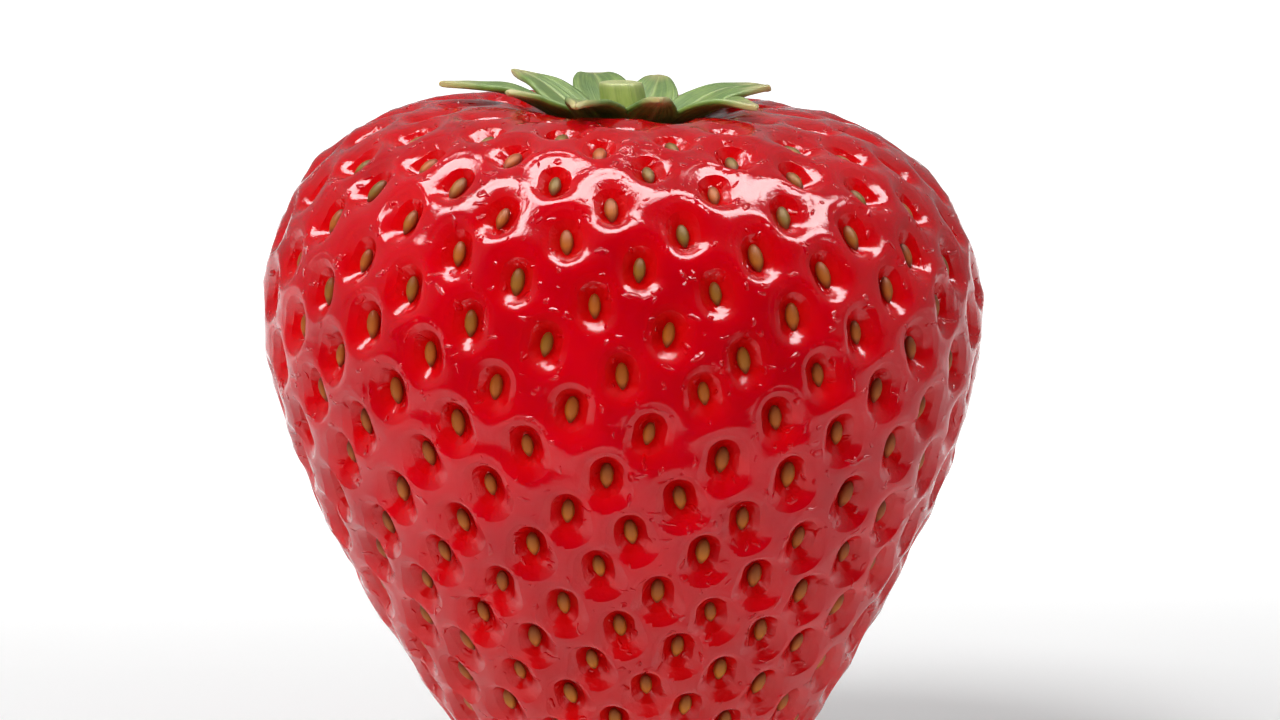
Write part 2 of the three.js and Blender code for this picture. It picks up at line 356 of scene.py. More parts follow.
def placesInPits(points, seedNumbers):
    # where each point is in the pit of its seed: along the seed, across it, out of it
    scales, turns, ups, rounds = (ofSeeds(key, seedNumbers) for key in ("scale", "turn", "up", "round"))
    offset = points - seedPoints[seedNumbers]
    high = np.sum(offset * ups, axis=1)
    side = np.sum(offset * rounds, axis=1)
    out = np.sqrt(np.maximum(np.sum(offset ** 2, axis=1) - high ** 2 - side ** 2, 0))
    along = high * np.cos(turns) + side * np.sin(turns)
    across = side * np.cos(turns) - high * np.sin(turns)
    return np.stack([along, across, out]) / np.sqrt(scales)


def pitStrengths():
    # how deep each pit is, as a share of the pits at the girth
    draw = makeDraw(skinShape["pitDraw"])
    return np.array([seed["scale"] * (1 + either(draw, skinShape["pitSpread"])) for seed in seeds])


def pitsAt(points, seedNumbers):
    # depth of the pit of the given seed at each point, and height of the brow over it
    along, across, out = placesInPits(points, seedNumbers)
    floorEnd = np.where(along > 0, skinShape["floorUp"], skinShape["floorDown"])
    beyond = np.maximum(np.abs(along) - floorEnd, 0)
    away = np.sqrt(beyond ** 2 + across ** 2 + out ** 2)
    depth = skinShape["pitDepth"] * (1 - smoothStep(away, 0, skinShape["pitRadius"]))
    depth *= pitStrengths()[seedNumbers]
    reach = np.hypot(along, across)
    apart = reach / np.sqrt(ofSeeds("scale", seedNumbers))
    top = skinShape["browTop"]
    arch = smoothStep(apart, skinShape["browStart"], top)
    arch *= 1 - smoothStep(apart, top, skinShape["browEnd"])
    arch *= smoothStep(along / np.maximum(reach, 1e-6), *skinShape["browSweep"])
    return depth, skinShape["browHeight"] * arch * smoothStep(points[:, 2], *skinShape["browLevels"])


def relief(points):
    # how far the skin stands out from the smooth body, and how deep in a pit each point is
    distances, nearest = nearestSeeds(points)
    first, second, third = distances.T[:3]
    middle = np.clip(2 * first / (first + second), 0, 1)
    cupEnd = seedRule["girthSpacing"] * ofSeeds("scale", nearest[:, 0]) * skinShape["cupReach"]
    cup = (1 - middle ** 2) ** 2 * smoothStep(cupEnd - first, 0, 1)
    pit, brow = np.sum([pitsAt(points, numbers) for numbers in nearest.T], axis=0)
    underCalyx = smoothStep(points[:, 2], *skinShape["calyxLevels"])
    underCalyx *= 1 - smoothStep(np.hypot(*points[:, :2].T), *skinShape["calyxRadii"])
    knot = smoothStep(first / np.maximum(third, 1e-6), skinShape["knotStart"], 1)
    height = (skinShape["knotRise"] * knot - skinShape["cupDepth"] * cup
              - pit + brow * (1 - underCalyx) + slowWaves(points))
    settled = smoothStep(points[:, 2], *skinShape["restLevels"])
    return height * settled, pit * settled


def skinOutline():
    # the outline by its length, closed by the resting spot, with the spot's edge rounded
    standing = outline["height"] > 0
    radius = np.concatenate([[0.0], outline["radius"][standing], [0.0]])
    height = np.concatenate([[0.0], outline["height"][standing], [float(crownHeight(0.0))]])
    length = np.concatenate([[0.0], np.cumsum(np.hypot(np.diff(radius), np.diff(height)))])
    even = np.linspace(0, length[-1], body["evenSteps"])
    radius, height = np.interp(even, length, radius), np.interp(even, length, height)
    window = max(3, int(body["restRounding"] / even[1]) | 1)
    weights = np.hanning(window + 2)[1:-1]
    weights /= weights.sum()
    corner = even < outline["radius"][standing][0] + body["restMargin"]
    for line in (radius, height):
        padded = np.pad(line, window // 2, mode="edge")
        soft = np.convolve(padded, weights, mode="valid")
        far = even > 2 * body["restRounding"]
        line[corner & far] = soft[corner & far]
    return even, radius, height


def addPitPlaces(skin, points):
    # at each face's four corners: across and along the pit of the face's seed, and its strength
    corners = np.empty(len(skin.data.loops), dtype=np.int32)
    skin.data.loops.foreach_get("vertex_index", corners)
    cornerPoints = points[corners]
    distances, nearest = nearestSeeds(cornerPoints.reshape(-1, 4, 3).mean(axis=1))
    seedNumbers = np.repeat(nearest[:, 0], 4)
    along, across, out = placesInPits(cornerPoints, seedNumbers)
    settled = smoothStep(cornerPoints[:, 2], *skinShape["restLevels"])
    places = np.stack([across, along, pitStrengths()[seedNumbers] * settled], -1)
    layer = skin.data.attributes.new("pitPlace", "FLOAT_VECTOR", "CORNER")
    layer.data.foreach_set("vector", places.astype(np.float32).ravel())


def makeSkin():
    bpy.ops.mesh.primitive_cube_add(size=2)
    skin = bpy.context.object
    skin.name = "skin"
    bpy.ops.object.mode_set(mode="EDIT")
    bpy.ops.mesh.subdivide(number_cuts=skinShape["cubeCuts"])
    bpy.ops.mesh.subdivide(number_cuts=1)
    bpy.ops.object.mode_set(mode="OBJECT")
    cube = readPoints(skin)
    ball = np.tan(cube * math.pi / 4)  # evens out the faces before the cube is blown up to a ball
    ball /= np.linalg.norm(ball, axis=1)[:, None]
    length, radius, height = skinOutline()
    azimuth = np.arctan2(ball[:, 1], ball[:, 0])
    along = (1 - np.arccos(np.clip(ball[:, 2], -1, 1)) / math.pi) * length[-1]

    def onBody(along, azimuth):
        return bodyPoints(np.interp(along, length, radius), np.interp(along, length, height), azimuth)

    step = skinShape["step"]
    points = onBody(along, azimuth)
    up = onBody(along + step, azimuth) - onBody(along - step, azimuth)
    fromAxis = np.interp(along, length, radius)
    turn = step / np.maximum(fromAxis, skinShape["poleRadius"])
    around = onBody(along, azimuth + turn) - onBody(along, azimuth - turn)
    out = np.cross(around, up)
    out /= np.maximum(np.linalg.norm(out, axis=1), 1e-12)[:, None]
    poles = fromAxis < skinShape["poleRadius"]
    out[poles] = np.where(points[poles, 2:3] > body["girthHeight"], 1, -1) * (0, 0, 1)
    raised, pit = relief(points)
    smooth = points
    points = points + out * raised[:, None]
    points[:, 2] = np.maximum(points[:, 2], 0)
    writePoints(skin, points * mm)
    addShade(skin, "pit", pit)
    addPitPlaces(skin, smooth)
    selectOnly(skin)
    bpy.ops.object.shade_smooth()
    print("skin faces:", len(skin.data.polygons))
    return skin


acheneShape = {
    "sides": 10,
    "rings": 7,
    "thickness": 0.56,  # mm, through the seed
    "centreDepth": 0.68,  # mm, of its middle under the smooth body
    "depthShares": (0.6, 0.4),  # of that depth: for every seed, and by its spacing
    "pointedness": 0.4,  # how narrow the lower end is
    "pointPower": 1.5,
    "toneDraw": 99,
    "toneShares": (0.4, 0.8),  # of a seed's tone: drawn, and from its height, which is a painted lift of the shade on the lower seeds
    "shadeLiftHeight": 30,  # mm above the table, from where the seeds are painted paler towards the tip, to make up for the shade that falls on the lower seeds
}


def makeAchenes():
    # one seed, rounded above and pointed below, then a copy in each pit
    bpy.ops.mesh.primitive_uv_sphere_add(segments=acheneShape["sides"], ring_count=acheneShape["rings"],
                                         radius=0.5, rotation=(math.pi / 2, 0, 0))
    model = bpy.context.object
    bpy.ops.object.transform_apply()
    shape = readPoints(model)  # x across the seed, y along it, z out of the fruit
    lower = np.clip(-shape[:, 1] * 2, 0, 1)
    narrow = 1 - acheneShape["pointedness"] * lower ** acheneShape["pointPower"]
    shape[:, 0] *= narrow * seedRule["width"]
    shape[:, 1] *= seedRule["length"]
    shape[:, 2] *= narrow * acheneShape["thickness"]
    writePoints(model, shape * mm)
    bpy.ops.object.shade_smooth()
    draw = makeDraw(acheneShape["toneDraw"])
    sameDepth, spacedDepth = (acheneShape["centreDepth"] * share for share in acheneShape["depthShares"])
    drawnShare, shadeLiftShare = acheneShape["toneShares"]
    copies = []
    for seed in seeds:
        copy = model.copy()
        copy.data = model.data.copy()
        bpy.context.collection.objects.link(copy)
        upward = seed["up"] * math.cos(seed["turn"]) + seed["round"] * math.sin(seed["turn"])
        across = np.cross(upward, seed["out"])
        turned = Matrix((across, upward, seed["out"])).transposed().to_4x4()
        middle = seed["point"] - seed["out"] * (sameDepth + spacedDepth * seed["scale"])
        copy.data.transform(Matrix.Translation(Vector(middle * mm)) @ turned @ Matrix.Scale(seed["size"], 4))
        count = len(copy.data.vertices)
        # painted light: lower seeds get a paler tone to make up for the shade that falls on them
        low = 1 - seed["point"][2] / acheneShape["shadeLiftHeight"]
        addShade(copy, "tone", np.full(count, max(0, drawnShare * draw() + shadeLiftShare * low)))
        addShade(copy, "along", shape[:, 1] / seedRule["length"] + 0.5)
        addShade(copy, "rise", 2 * shape[:, 2] / acheneShape["thickness"])
        copies.append(copy)
    achenes = joinPieces(copies, "achenes")
    bpy.data.objects.remove(model)
    print("seed faces:", len(achenes.data.polygons))
    return achenes


# the green part on the crown, in millimetres
calyxShape = {
    "gap": 0.35,  # to the fruit under it
    "draw": 21,
    "sepalCount": 10,
    "sepalSteps": (18, 8),  # along a sepal and across it
    "sepalStart": 1.4,
    "longReach": 9,
    "shortReach": 7.2,
    "reachSpread": 0.6,
    "firstTurn": math.pi / 5,
    "turnSpread": 0.12,  # of the angle from sepal to sepal
    "twistSpread": 0.12,
    "sepalWidth": 3,
    "sepalRootWidth": 1.5,
    "sepalPoint": 0.12,  # width left at its end
    "widestShare": 0.42,
    "closingPower": 1.4,
    "sepalFold": 0.22,
    "sepalWaves": [(0.09, 9, 1, 2), (0.05, 23, 2, 4)],  # height, turns along, shift each, power across
    "mostLift": 0.7,
    "sepalThickness": 0.32,
    "collarRadius": 2.5,
    "collarFoot": 0.25,  # its lower edge over the base
    "collarSteps": [(0.35, 2.45), (0.7, 2.0), (0.95, 1.5), (1.2, 1.22), (1.7, 1.12), (2.3, 1.1)],
    "stalkSides": 28,
    "stalkTop": 3.2,
    "stalkRounding": [(0.08, 1.067), (0, 0.968)],  # down from the top, and the radius there
    "cutRings": [(0.28, 0.03), (0.3, -0.12)],  # inwards and up, for the hollow of the cut end
    "stalkLean": 0.4,
    "ribCount": 6,
    "ribHeight": 0.035,  # as a share of the radius
    "ribStart": (0, 0.3),  # share of the height, over which the ribs rise
    "leanStart": 0.6,
}


def sepalWidthAt(along):
    widest = calyxShape["widestShare"]
    opening = np.sin(math.pi / 2 * np.clip(along / widest, 0, 1))
    root = calyxShape["sepalRootWidth"] + (calyxShape["sepalWidth"] - calyxShape["sepalRootWidth"]) * opening
    closing = np.clip((along - widest) / (1 - widest), 0, 1) ** calyxShape["closingPower"]
    outer = calyxShape["sepalWidth"] * (1 - closing) + calyxShape["sepalPoint"] * closing
    return np.where(along < widest, root, outer)


def crownUnder(x, y):
    # height of the fruit's crown at a place under the calyx
    height = crownHeight(np.hypot(x, y))
    return height - body["crownSlope"] * x * (height - body["girthHeight"]) / body["shoulderRise"]


def makeSepal(azimuth, reach, lift, twist, number):
    # one sepal that lies along the crown, folded up at its sides and wavy at its edges
    stepsAlong, stepsAcross = calyxShape["sepalSteps"]
    bpy.ops.mesh.primitive_grid_add(x_subdivisions=stepsAlong, y_subdivisions=stepsAcross, size=1)
    sepal = bpy.context.object
    flat = readPoints(sepal)
    along = flat[:, 0] + 0.5
    side = 2 * flat[:, 1]
    across = side * sepalWidthAt(along) / 2
    far = calyxShape["sepalStart"] + (reach - calyxShape["sepalStart"]) * along
    turn = azimuth + twist * along ** 2
    x = far * np.cos(turn) - across * np.sin(turn)
    y = far * np.sin(turn) + across * np.cos(turn)
    fold = calyxShape["sepalFold"] * np.abs(side) * np.sin(math.pi * along)
    wave = sum(height * np.sin(turns * along + shift * number) * side ** power
               for height, turns, shift, power in calyxShape["sepalWaves"])
    z = crownUnder(x, y) + calyxShape["gap"] + fold + lift * along ** 3 + wave * along
    writePoints(sepal, np.stack([x, y, z + calyxShape["sepalThickness"] / 2], -1) * mm)
    addShade(sepal, "along", along)
    addShade(sepal, "side", side)
    applyModifier(sepal, "SOLIDIFY", thickness=calyxShape["sepalThickness"] * mm, offset=0)
    applyModifier(sepal, "SUBSURF", levels=1, render_levels=1)
    bpy.ops.object.shade_smooth()
    return sepal


def makeSepals():
    draw = makeDraw(calyxShape["draw"])
    sepals = []
    for number in range(calyxShape["sepalCount"]):
        place = number + either(draw, calyxShape["turnSpread"])
        azimuth = calyxShape["firstTurn"] + 2 * math.pi * place / calyxShape["sepalCount"]
        reach = calyxShape["shortReach"] if number % 2 else calyxShape["longReach"]
        reach += either(draw, calyxShape["reachSpread"])
        lift = calyxShape["mostLift"] * draw()
        twist = either(draw, calyxShape["twistSpread"])
        sepals.append(makeSepal(azimuth, reach, lift, twist, number))
    return joinPieces(sepals, "sepals")


def makeStalk():
    # the collar and the cut stub, turned as one piece round the stalk's middle
    base = float(crownHeight(0.0)) + calyxShape["gap"]
    height, wide = base + calyxShape["collarFoot"], calyxShape["collarRadius"]
    bpy.ops.mesh.primitive_circle_add(vertices=calyxShape["stalkSides"], radius=wide * mm,
                                      location=(0, 0, height * mm), fill_type="NGON")
    stalk = bpy.context.object
    bpy.ops.object.transform_apply()
    bpy.ops.object.mode_set(mode="EDIT")
    top = base + calyxShape["stalkTop"]
    rings = [(base + rise, radius) for rise, radius in calyxShape["collarSteps"]]
    rings += [(top - drop, radius) for drop, radius in calyxShape["stalkRounding"]]
    for nextHeight, nextWide in rings:
        rise = (0, 0, (nextHeight - height) * mm)
        bpy.ops.mesh.extrude_region_move(TRANSFORM_OT_translate={"value": rise})
        ratio = nextWide / wide
        bpy.ops.transform.resize(value=(ratio, ratio, 1), center_override=(0, 0, nextHeight * mm))
        height, wide = nextHeight, nextWide
    for inset, rise in calyxShape["cutRings"]:
        bpy.ops.mesh.inset(thickness=inset * mm)
        bpy.ops.transform.translate(value=(0, 0, rise * mm))
    bpy.ops.mesh.select_all(action="SELECT")
    bpy.ops.mesh.normals_make_consistent(inside=False)
    bpy.ops.object.mode_set(mode="OBJECT")
    applyModifier(stalk, "SUBSURF", levels=2, render_levels=2)
    points = readPoints(stalk) / mm
    share = np.clip((points[:, 2] - base - calyxShape["leanStart"]) / (top - base), 0, 1)
    azimuth = np.arctan2(points[:, 1], points[:, 0])
    ribs = np.cos(calyxShape["ribCount"] * azimuth) * smoothStep(share, *calyxShape["ribStart"])
    ribs = 1 + calyxShape["ribHeight"] * ribs
    points[:, 0] = points[:, 0] * ribs - calyxShape["stalkLean"] * share ** 2
    points[:, 1] *= ribs
    writePoints(stalk, points * mm)
    addShade(stalk, "along", share)
    addShade(stalk, "side", 2 + np.cos(azimuth))  # past the middle rib of a sepal, so the stalk has none
    bpy.ops.object.shade_smooth()
    stalk.name = "stalkStub"
    return stalk


skinLook = {
    "deepRed": "#A2000E",
    "ripeRed": "#BA0112",
    # painted glow: the tip's more orange red stands in for light that shines through the narrow tip
    "tipGlowRed": "#B40C06",
    # pits: a brighter red, partly the flesh's own colour and partly painted glow that lifts the shade in the
    # hollows
    "pitGlowRed": "#E20A06",
    "blotchSize": 6,  # mm
    "blotchEnds": (0.3, 0.7),  # of the noise, for the deep and the ripe red
    "tipGlowEnd": (2, 20),  # mm above the table, where the tip's paler, more orange red ends: painted glow that stands in for light shining through the narrow tip
    "pitShare": 0.8,  # of the pit's brighter red at its floor: partly the flesh's own colour, partly painted glow that lifts the shade in the pit
    "redDepth": 0.8,  # mm, where a pit has its whole share of it
    "wallFoot": 0.25,  # mm from the pit's floor line, where its wall starts
    "wallTop": 0.8,  # mm, where the wall meets the rim
    "wallSlope": 1.0,
    "rimTop": 1.15,  # mm, where the rim meets the level skin
    "rimSlopes": (0.34, 0.14),  # round the sides, and on the shoulders
    "shoulderLevels": (29, 33),  # mm above the table, from the sides to the shoulders
    "lipTop": 0.3,  # mm more for the lip under each seed of the fruit's lower half
    "lipSlope": 0.38,  # and how much steeper it is
    "lipTurn": (0.7, -1.1),  # mm along the seed, from the plain rim to the lip
    "lipLevels": (27, 20),  # mm above the table, where the lips are gone and where they are full
    "softShare": 0.85,  # of the crisp edges, that is missing under the seeds of the upper half
    "rimRaggedness": 0.03,  # mm
    "raggedSize": 0.35,  # mm
    "grainSize": 0.16,  # mm
    "grainHeight": 0.013,  # mm
    "fleckSpacing": 0.62,  # mm, between the tiny folds and hairs, drawn coarser than real to show
    "fleckStretch": 0.4,
    "fleckRadius": 0.22,  # as a share of the spacing
    "fleckCore": 0.3,  # share of the radius that is flat on top
    "fleckHeight": 0.13,  # mm
    "fleckShare": 0.75,
    "bendSize": 1.1,  # mm, of the uneven bends that shake the flecks out of line
    "bendReach": 1.2,  # mm
    "roughness": 0.05,
    "waxIor": 1.43,
    "sinkShare": 0.9,  # of the light that sinks into the flesh
    "sinkDepth": 3.0,  # mm, and the share of it for red, green and blue
    "sinkColours": (1.0, 0.15, 0.08),
}


def addFlecks(tree, place, stretch):
    # short raised dashes, one in some of the cells of a pattern stretched one way
    stretched = addNode(tree, "VectorMath", {"operation": "MULTIPLY"}, {0: place, 1: stretch})
    cells = addNode(tree, "TexVoronoi", None, {
        "Scale": scaleFor(skinLook["fleckSpacing"]), "Vector": stretched})
    spot = addNode(tree, "MapRange", {"interpolation_type": "SMOOTHSTEP"}, {
        "From Min": skinLook["fleckCore"] * skinLook["fleckRadius"], "From Max": skinLook["fleckRadius"],
        "To Min": 1, "To Max": 0, "Value": cells})
    chance = addNode(tree, "SeparateColor", None, {"Color": cells.outputs["Color"]})
    some = addNode(tree, "Math", {"operation": "LESS_THAN"},
                   {0: chance.outputs["Red"], 1: skinLook["fleckShare"]})
    return addNode(tree, "Math", {"operation": "MULTIPLY"}, {0: spot, 1: some})


def addPitEdges(tree, place):
    # what turns the soft pits of the mesh into pits with a straight wall and a crisp flat rim, in mm
    foot, wallTop, raggedness = skinLook["wallFoot"], skinLook["wallTop"], skinLook["rimRaggedness"]
    sideSlope, shoulderSlope = skinLook["rimSlopes"]
    lipLow, lipHigh = (height * mm for height in skinLook["lipLevels"])
    shoulderLow, shoulderHigh = (height * mm for height in skinLook["shoulderLevels"])
    ownPlace = addNode(tree, "Attribute", {"attribute_name": "pitPlace"})
    split = addNode(tree, "SeparateXYZ", None, {"Vector": ownPlace.outputs["Vector"]})
    ragged = addNode(tree, "TexNoise", None, {
        "Scale": scaleFor(skinLook["raggedSize"]), "Detail": 2, "Vector": place})
    known = {
        "across": split.outputs["X"], "along": split.outputs["Y"], "strength": split.outputs["Z"],
        "level": addNode(tree, "SeparateXYZ", None, {"Vector": place}).outputs["Z"],
        "ragged": ragged,
    }
    # two steps, each with ranges (a name, what it reads, from where to where, to what, and how) and with
    # sums (a name, the operation and its sides)
    steps = [([
        ("shift", "ragged", 0, 1, -raggedness, raggedness, "LINEAR"),
        ("turned", "along", *skinLook["lipTurn"], 0, 1, "SMOOTHSTEP"),
        ("low", "level", lipLow, lipHigh, 0, 1, "SMOOTHSTEP"),
        ("high", "level", shoulderLow, shoulderHigh, 0, 1, "SMOOTHSTEP"),
    ], [  # how far each point is from the line of the pit's floor
        ("above", "SUBTRACT", "along", skinShape["floorUp"]),
        ("above", "MAXIMUM", "above", 0),
        ("below", "ADD", "along", skinShape["floorDown"]),
        ("below", "MINIMUM", "below", 0),
        ("beyond", "ADD", "above", "below"),
        ("beyond", "MULTIPLY", "beyond", "beyond"),
        ("aside", "MULTIPLY", "across", "across"),
        ("square", "ADD", "beyond", "aside"),
        ("straight", "SQRT", "square"),
        ("reach", "ADD", "straight", "shift"),
    ]), ([
        ("wall", "reach", foot, wallTop, -skinLook["wallSlope"] * (wallTop - foot), 0, "LINEAR"),
        ("soft", "straight", 0, skinShape["pitRadius"], skinShape["pitDepth"], 0, "SMOOTHSTEP"),
    ], [  # the rim, with its lip on the side towards the tip
        ("lip", "MULTIPLY", "turned", "low"),
        ("rimTop", "MULTIPLY_ADD", "lip", skinLook["lipTop"], skinLook["rimTop"]),
        ("plainSlope", "MULTIPLY_ADD", "high", shoulderSlope - sideSlope, sideSlope),
        ("rimSlope", "MULTIPLY_ADD", "lip", skinLook["lipSlope"], "plainSlope"),
        ("under", "SUBTRACT", "rimTop", "reach"),
        ("under", "MAXIMUM", "under", 0),
        ("widest", "SUBTRACT", "rimTop", wallTop),
        ("under", "MINIMUM", "under", "widest"),
        ("rim", "MULTIPLY", "under", "rimSlope"),
        # all of it in place of the soft pit, as crisp and as strong as it is here
        ("edges", "SUBTRACT", "wall", "rim"),
        ("edges", "ADD", "edges", "soft"),
        ("plain", "SUBTRACT", "turned", "lip"),
        ("crisp", "MULTIPLY_ADD", "plain", -skinLook["softShare"], 1),
        ("crisp", "MULTIPLY", "crisp", "strength"),
        ("edges", "MULTIPLY", "edges", "crisp"),
    ])]
    for ranges, sums in steps:
        for name, value, start, end, least, most, kind in ranges:
            known[name] = addNode(tree, "MapRange", {"interpolation_type": kind}, {
                "From Min": start, "From Max": end, "To Min": least, "To Max": most,
                "Value": known[value]})
        for name, operation, *sides in sums:
            known[name] = addNode(tree, "Math", {"operation": operation}, {
                number: known.get(side, side) for number, side in enumerate(sides)})
    return known["edges"]


def makeSkinMaterial():
    # ripe strawberry skin: thin wet-looking wax over deep red flesh that light sinks into
    material, tree = newMaterial("ripeStrawberrySkin")
    place = addNode(tree, "TexCoord").outputs["Object"]
    blotches = addNode(tree, "TexNoise", None, {
        "Scale": scaleFor(skinLook["blotchSize"]), "Detail": 3, "Vector": place})
    tone = addNode(tree, "ValToRGB", None, {"Fac": blotches})
    setRamp(tone, zip(skinLook["blotchEnds"], (skinLook["deepRed"], skinLook["ripeRed"])))
    split = addNode(tree, "SeparateXYZ", None, {"Vector": place})
    lowest, highest = skinLook["tipGlowEnd"]
    # painted glow: towards the tip the skin is mixed to a more orange red, standing in for light that shines
    # through it
    low = addNode(tree, "MapRange", None, {
        "From Min": lowest * mm, "From Max": highest * mm, "To Min": 1, "To Max": 0,
        "Value": split.outputs["Z"]})
    tipGlowed = addNode(tree, "Mix", {"data_type": "RGBA"}, {
        "Factor": low, "A": tone, "B": hexToLinear(skinLook["tipGlowRed"])})
    # painted glow in the pits: the deeper the point, the more of the brighter pit red, partly own colour and
    # partly lifting the shade there
    pit = addNode(tree, "Attribute", {"attribute_name": "pit"})
    deep = addNode(tree, "MapRange", None, {
        "From Max": skinLook["redDepth"], "To Max": skinLook["pitShare"], "Value": pit.outputs["Fac"]})
    withPitGlow = addNode(tree, "Mix", {"data_type": "RGBA"}, {
        "Factor": deep, "A": tipGlowed, "B": hexToLinear(skinLook["pitGlowRed"])})
    bends = addNode(tree, "TexNoise", None, {
        "Scale": scaleFor(skinLook["bendSize"]), "Detail": 2, "Vector": place})
    bent = addNode(tree, "VectorMath", {"operation": "SCALE"}, {
        "Scale": skinLook["bendReach"] * mm, "Vector": bends.outputs["Color"]})
    shaken = addNode(tree, "VectorMath", {"operation": "ADD"}, {0: place, 1: bent})
    narrow = skinLook["fleckStretch"]
    dashes = addNode(tree, "Math", {"operation": "MAXIMUM"}, {
        0: addFlecks(tree, shaken, (1, 1, narrow)), 1: addFlecks(tree, shaken, (narrow, narrow, 1))})
    grain = addNode(tree, "TexNoise", None, {
        "Scale": scaleFor(skinLook["grainSize"]), "Detail": 3, "Vector": place})
    height = addPitEdges(tree, place)
    for pattern, most in ((grain, skinLook["grainHeight"]), (dashes, skinLook["fleckHeight"])):
        height = addNode(tree, "Math", {"operation": "MULTIPLY_ADD"}, {0: pattern, 1: most, 2: height})
    bumps = addNode(tree, "Bump", None, {"Distance": mm, "Height": height})
    shader = addNode(tree, "BsdfPrincipled", None, {
        "Roughness": skinLook["roughness"], "IOR": skinLook["waxIor"],
        "Subsurface Weight": skinLook["sinkShare"], "Subsurface Scale": skinLook["sinkDepth"] * mm,
        "Subsurface Radius": skinLook["sinkColours"], "Base Color": withPitGlow, "Normal": bumps})
    addNode(tree, "OutputMaterial", None, {"Surface": shader})
    return material


acheneLook = {
    "tones": [(0, "#765814"), (1, "#BC7A18"), (0.15, "#A4560E"), (0.3, "#A0500C"), (0.6, "#B2620E")],
    "ends": [(0, "#A88C60"), (1, "#B4A078"), (0.3, "#FFFFFF")],  # along a seed, over its tone
    "edgeShadeColour": "#74200C",  # painted shade in the crevice where the seed meets the flesh
    "edgeShadeRise": (0.05, 0.75),  # of half its thickness, from the painted edge shade to the plain tone
    "edgeShadeLeast": 0.15,  # share of the plain tone left under the painted shade at the edge
    "grainSize": 0.2,  # mm
    "grainHeight": 0.03,  # mm
    "grainStrength": 0.4,
    "roughness": 0.5,
    "shellIor": 1.5,
    "sheen": 0.3,
}


def makeAcheneMaterial():
    # dry seed shell: olive to reddish brown, matt with a fine grain, with painted shade where it sits in the
    # flesh
    material, tree = newMaterial("dryAcheneShell")
    place = addNode(tree, "TexCoord").outputs["Object"]
    tone, along, rise = (addNode(tree, "Attribute", {"attribute_name": shade}).outputs["Fac"]
                         for shade in ("tone", "along", "rise"))
    ramp = addNode(tree, "ValToRGB", None, {"Fac": tone})
    setRamp(ramp, acheneLook["tones"])
    ends = addNode(tree, "ValToRGB", None, {"Fac": along})
    setRamp(ends, acheneLook["ends"])
    colour = addNode(tree, "Mix", {"data_type": "RGBA", "blend_type": "MULTIPLY"},
                     {"Factor": 1, "A": ramp, "B": ends})
    # painted shade: the seed darkens towards where it sinks into the flesh, for the crevice round it
    edgeShadeStart, edgeShadeEnd = acheneLook["edgeShadeRise"]
    edge = addNode(tree, "MapRange", None, {
        "From Min": edgeShadeStart, "From Max": edgeShadeEnd, "To Min": acheneLook["edgeShadeLeast"], "Value": rise})
    edgeShaded = addNode(tree, "Mix", {"data_type": "RGBA"}, {
        "Factor": edge, "A": hexToLinear(acheneLook["edgeShadeColour"]), "B": colour})
    grain = addNode(tree, "TexNoise", None, {
        "Scale": scaleFor(acheneLook["grainSize"]), "Detail": 2, "Vector": place})
    bump = addNode(tree, "Bump", None, {
        "Strength": acheneLook["grainStrength"], "Distance": acheneLook["grainHeight"] * mm, "Height": grain})
    shader = addNode(tree, "BsdfPrincipled", None, {
        "Roughness": acheneLook["roughness"], "IOR": acheneLook["shellIor"],
        "Specular IOR Level": acheneLook["sheen"], "Base Color": edgeShaded, "Normal": bump})
    addNode(tree, "OutputMaterial", None, {"Surface": shader})
    return material


leafLook = {
    "sepalColours": ("#4C6A22", "#728A3A", "#9AAA62", "#B8AC72"),  # two greens, the rib, the dry point
    "stalkColours": ("#7E9040", "#98A456", "#98A456", "#CFC79A"),
    "greenEnds": (0.4, 0.6),  # of the noise, for the two greens
    "mottleSize": 1.1,  # mm
    "veins": (1.5, 7),  # streaks along a sepal, and across it
    "veinBend": 0.4,
    "veinHeight": 0.16,  # mm
    "ribShare": 0.16,  # of half the sepal's width, that the middle rib takes
    "ribPaleness": 0.55,
    "ribDepth": 0.6,  # how deep the rib is sunk, next to the veins
    "dryStart": 0.72,  # share of the length, from where the point is dry
    "roughness": 0.55,
    "sinkShare": 0.15,  # of the light that sinks in
    "sinkDepth": 0.6,  # mm, and the share of it for red, green and blue
    "sinkColours": (0.6, 1.0, 0.2),
}


